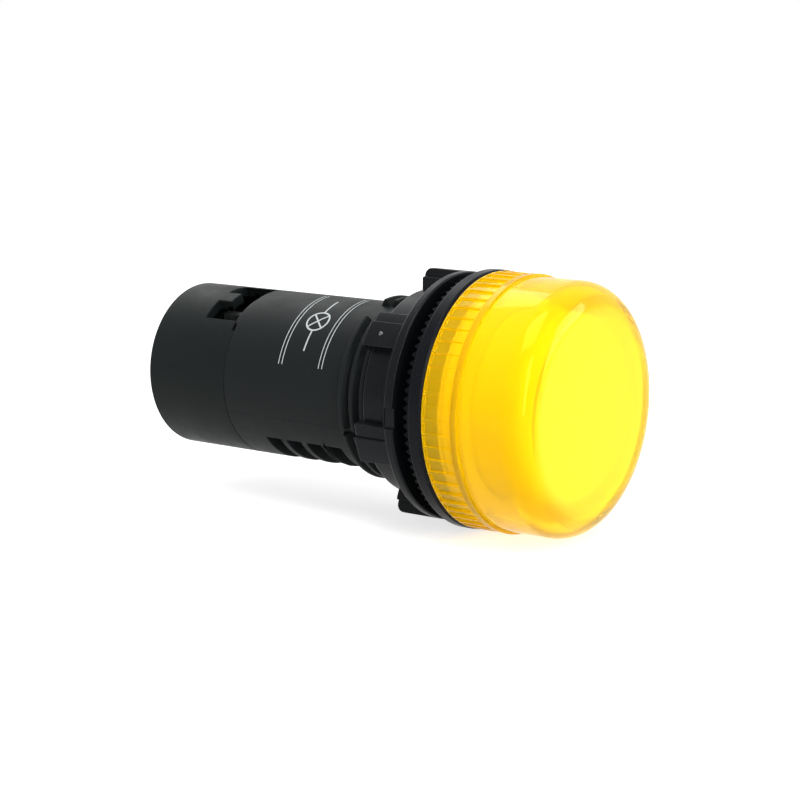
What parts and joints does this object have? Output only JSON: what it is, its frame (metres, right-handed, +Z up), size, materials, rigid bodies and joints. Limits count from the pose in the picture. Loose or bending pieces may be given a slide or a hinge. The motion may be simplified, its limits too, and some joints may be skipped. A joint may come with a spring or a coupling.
{
  "type": "panel pilot light",
  "caption": "Round panel pilot light with a yellow screw-on lens, ribbed grip band, toothed gasket, threaded neck with a fixing nut, vented barrel and a rear cover over screw terminals.",
  "frame": {"origin": "on the lamp's axis, in the plane of the panel's front face where the gasket's teeth bear", "axes": "+Y along the axis from the lens towards the terminals, +Z up, wire entries turned 21 degrees from straight up towards -X"},
  "size_m": [0.0298, 0.0575, 0.0298],
  "materials": {
    "housing_black": "moulded, fine satin grain",
    "gasket_rubber": "matt moulded rubber",
    "nut_black": "moulded, semi-gloss",
    "lens_amber": "polished transparent yellow",
    "seal_rubber": "smooth rubber cord",
    "diffuser_milk": "milky translucent",
    "holder_white": "moulded, satin",
    "lamp_board_white": "white solder mask",
    "lamps_yellow": "tinted clear resin",
    "pins_tin": "tinned",
    "strip_black": "moulded",
    "board_green": "solder mask over glass fibre",
    "capacitor_blue": "shrink sleeve",
    "rectifier_black": "moulded epoxy",
    "resistor_body": "lacquered",
    "suppressor_blue": "dipped epoxy",
    "blade_brass": "tinned at the solder foot",
    "block_grey": "moulded",
    "cage_steel": "zinc plated",
    "screw_steel": "zinc plated",
    "cover_black": "moulded, fine satin grain"
  },
  "bodies": {
    "lamp": {"housing": "housing_black", "panel_gasket": "gasket_rubber", "lens_seal": "seal_rubber", "diffuser": "diffuser_milk", "lamp_holder": "holder_white", "lamp_board": "lamp_board_white", "lamps": "lamps_yellow", "header_pins": "pins_tin", "header_strip": "strip_black", "driver_board": "board_green", "smoothing_capacitor": "capacitor_blue", "bridge_rectifier": "rectifier_black", "resistors": "resistor_body", "surge_suppressor": "suppressor_blue", "contact_blades": "blade_brass", "terminal_block": "block_grey", "rear_cover": "cover_black"},
    "nut": {"fixing_nut": "nut_black"},
    "lens": {"lens": "lens_amber"},
    "cage_1": {"clamp_cage_1": "cage_steel"},
    "cage_2": {"clamp_cage_2": "cage_steel"},
    "screw_1": {"clamp_screw_1": "screw_steel"},
    "screw_2": {"clamp_screw_2": "screw_steel"}
  },
  "joints": [
    {"name": "nut_travel", "type": "slide", "parent": "lamp", "child": "nut", "axis": [0, 1, 0], "range_m": [-0.0005, 0.01]},
    {"name": "lens_travel", "type": "slide", "parent": "lamp", "child": "lens", "axis": [0, -1, 0], "range_m": [0, 0.0045]},
    {"name": "screw_1_turn", "type": "hinge", "parent": "lamp", "child": "screw_1", "pos_m": [-0.00309, 0.0389, 0.00096], "axis": [0, -1, 0], "range_deg": [0, 1520]},
    {"name": "cage_1_lift", "type": "slide", "parent": "lamp", "child": "cage_1", "axis": [0, 1, 0], "range_m": [0, 0.0019]},
    {"name": "screw_2_turn", "type": "hinge", "parent": "lamp", "child": "screw_2", "pos_m": [0.00165, 0.0389, 0.00278], "axis": [0, -1, 0], "range_deg": [0, 1520]},
    {"name": "cage_2_lift", "type": "slide", "parent": "lamp", "child": "cage_2", "axis": [0, 1, 0], "range_m": [0, 0.0019]}
  ],
  "couplings": [
    {"joint": "screw_1_turn", "follows": "cage_1_lift", "rad_per_m": 13963},
    {"joint": "screw_2_turn", "follows": "cage_2_lift", "rad_per_m": 13963}
  ]
}
